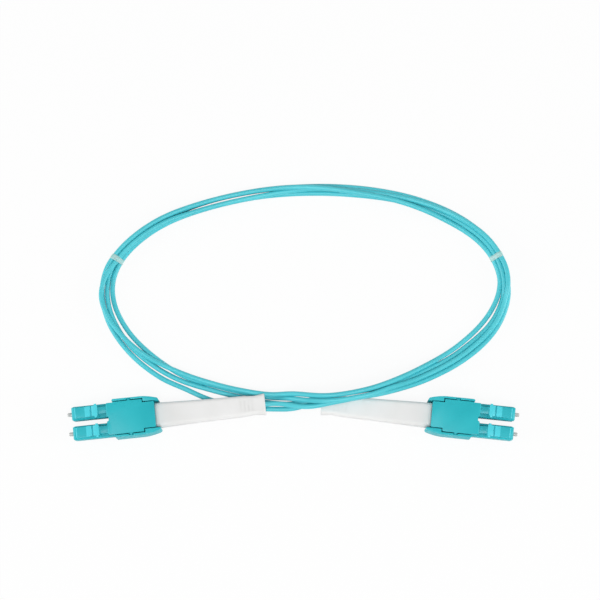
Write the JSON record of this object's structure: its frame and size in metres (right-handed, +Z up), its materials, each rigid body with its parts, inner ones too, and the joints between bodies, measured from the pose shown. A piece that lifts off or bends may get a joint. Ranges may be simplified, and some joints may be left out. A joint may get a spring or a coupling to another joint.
{
  "type": "fibre optic patch cord",
  "caption": "Duplex fibre optic patch cord with a twin-plug connector on each end and a coiled thin round cable held by clear ties.",
  "frame": {"origin": "on the table, midway between the two connectors: the bottom centre of their common box, without the cable", "axes": "+X along the row of the two connectors, from the left one to the right one; +Y away from the viewer, towards the coil; +Z up, the side with the latches and triggers"},
  "size_m": [0.1442, 0.0846, 0.0093],
  "materials": {
    "ferrule_ceramic": "polished white zirconia",
    "holder_metal": "turned nickel silver",
    "spring_steel": "bright drawn wire",
    "fibre_coating": "thin coloured coating",
    "aqua_shell": "moulded aqua plastic, satin",
    "aqua_latch": "moulded aqua plastic, satin",
    "inner_plastic": "moulded dark aqua plastic",
    "crimp_metal": "crimped sleeve, satin",
    "boot_rubber": "soft white elastomer",
    "cable_jacket": "extruded aqua jacket, slight sheen",
    "tie_clear": "thin clear film"
  },
  "bodies": {
    "cord_and_housings": {"ferrule_a1": "ferrule_ceramic", "ferrule_a2": "ferrule_ceramic", "ferrule_b1": "ferrule_ceramic", "ferrule_b2": "ferrule_ceramic", "ferrule_holder_a1": "holder_metal", "ferrule_holder_a2": "holder_metal", "ferrule_holder_b1": "holder_metal", "ferrule_holder_b2": "holder_metal", "spring_a1": "spring_steel", "spring_a2": "spring_steel", "spring_b1": "spring_steel", "spring_b2": "spring_steel", "fibre_a1": "fibre_coating", "fibre_a2": "fibre_coating", "fibre_b1": "fibre_coating", "fibre_b2": "fibre_coating", "plug_body_a1": "aqua_shell", "plug_body_a2": "aqua_shell", "plug_body_b1": "aqua_shell", "plug_body_b2": "aqua_shell", "spring_seat_a": "inner_plastic", "spring_seat_b": "inner_plastic", "housing_base_a": "aqua_shell", "housing_base_b": "aqua_shell", "housing_deck_a": "inner_plastic", "housing_deck_b": "inner_plastic", "crimp_sleeve_a": "crimp_metal", "crimp_sleeve_b": "crimp_metal", "boot_a": "boot_rubber", "boot_b": "boot_rubber", "cable_lead_a": "cable_jacket", "cable_coil": "cable_jacket", "cable_lead_b": "cable_jacket", "tie_left": "tie_clear", "tie_right": "tie_clear"},
    "trigger_a": {"trigger_a": "aqua_latch"},
    "latch_a1": {"latch_a1": "aqua_latch"},
    "latch_a2": {"latch_a2": "aqua_latch"},
    "trigger_b": {"trigger_b": "aqua_latch"},
    "latch_b1": {"latch_b1": "aqua_latch"},
    "latch_b2": {"latch_b2": "aqua_latch"}
  },
  "joints": [
    {"name": "trigger_a_press", "type": "hinge", "parent": "cord_and_housings", "child": "trigger_a", "pos_m": [-0.05176, -0.00019, 0.0083], "axis": [0.1045, -0.9945, 0], "range_deg": [0, 8.5], "stiffness_Nm_per_rad": 0.004, "springref_deg": -4.58},
    {"name": "latch_a1_bend", "type": "hinge", "parent": "cord_and_housings", "child": "latch_a1", "pos_m": [-0.0692, 0.00112, 0.0062], "axis": [-0.1045, 0.9945, 0], "range_deg": [0, 5.3]},
    {"name": "latch_a2_bend", "type": "hinge", "parent": "cord_and_housings", "child": "latch_a2", "pos_m": [-0.06854, -0.0051, 0.0062], "axis": [-0.1045, 0.9945, 0], "range_deg": [0, 5.3]},
    {"name": "trigger_b_press", "type": "hinge", "parent": "cord_and_housings", "child": "trigger_b", "pos_m": [0.05176, -0.00019, 0.0083], "axis": [0.1045, 0.9945, 0], "range_deg": [0, 8.5], "stiffness_Nm_per_rad": 0.004, "springref_deg": -4.58},
    {"name": "latch_b1_bend", "type": "hinge", "parent": "cord_and_housings", "child": "latch_b1", "pos_m": [0.06854, -0.0051, 0.0062], "axis": [-0.1045, -0.9945, 0], "range_deg": [0, 5.3]},
    {"name": "latch_b2_bend", "type": "hinge", "parent": "cord_and_housings", "child": "latch_b2", "pos_m": [0.0692, 0.00112, 0.0062], "axis": [-0.1045, -0.9945, 0], "range_deg": [0, 5.3]}
  ],
  "couplings": [
    {"joint": "latch_a1_bend", "follows": "trigger_a_press", "ratio": 0.62},
    {"joint": "latch_a2_bend", "follows": "trigger_a_press", "ratio": 0.62},
    {"joint": "latch_b1_bend", "follows": "trigger_b_press", "ratio": 0.62},
    {"joint": "latch_b2_bend", "follows": "trigger_b_press", "ratio": 0.62}
  ]
}
